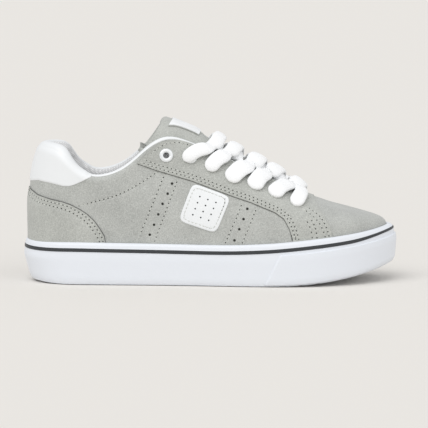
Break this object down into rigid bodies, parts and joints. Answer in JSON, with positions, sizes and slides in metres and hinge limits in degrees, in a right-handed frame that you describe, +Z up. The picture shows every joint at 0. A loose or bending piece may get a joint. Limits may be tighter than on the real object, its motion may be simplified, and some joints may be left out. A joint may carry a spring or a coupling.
{
  "type": "skateboarding shoe",
  "caption": "Low skateboarding shoe with a grey suede upper, padded collar and tongue, flat white laces and a white rubber cupsole with a dark pinstripe.",
  "frame": {"origin": "on the floor under the middle of the shoe's bounding box", "axes": "+X from the heel to the toe, +Y towards the medial side, which is the left of this right shoe, +Z up"},
  "size_m": [0.3, 0.1083, 0.1335],
  "materials": {
    "white_rubber": "satin",
    "black_rubber": "satin",
    "grey_suede": "napped",
    "white_leather": "satin",
    "white_cotton": "woven",
    "white_foam": "matte",
    "white_enamel": "gloss"
  },
  "bodies": {
    "root": {"outsole": "white_rubber", "side_wall": "white_rubber", "pinstripe": "black_rubber", "toe_bumper": "white_rubber", "upper": "grey_suede", "insole": "white_foam", "heel_counter": "grey_suede", "heel_panel": "white_leather", "eyestay": "grey_suede", "eyelet_outer_1": "white_enamel", "eyelet_outer_2": "white_enamel", "eyelet_outer_3": "white_enamel", "eyelet_outer_4": "white_enamel", "eyelet_outer_5": "white_enamel", "eyelet_outer_6": "white_enamel", "eyelet_outer_7": "white_enamel", "eyelet_inner_1": "white_enamel", "eyelet_inner_2": "white_enamel", "eyelet_inner_3": "white_enamel", "eyelet_inner_4": "white_enamel", "eyelet_inner_5": "white_enamel", "eyelet_inner_6": "white_enamel", "eyelet_inner_7": "white_enamel", "tongue": "grey_suede", "tongue_label": "white_leather", "laces": "white_cotton"}
  },
  "joints": []
}
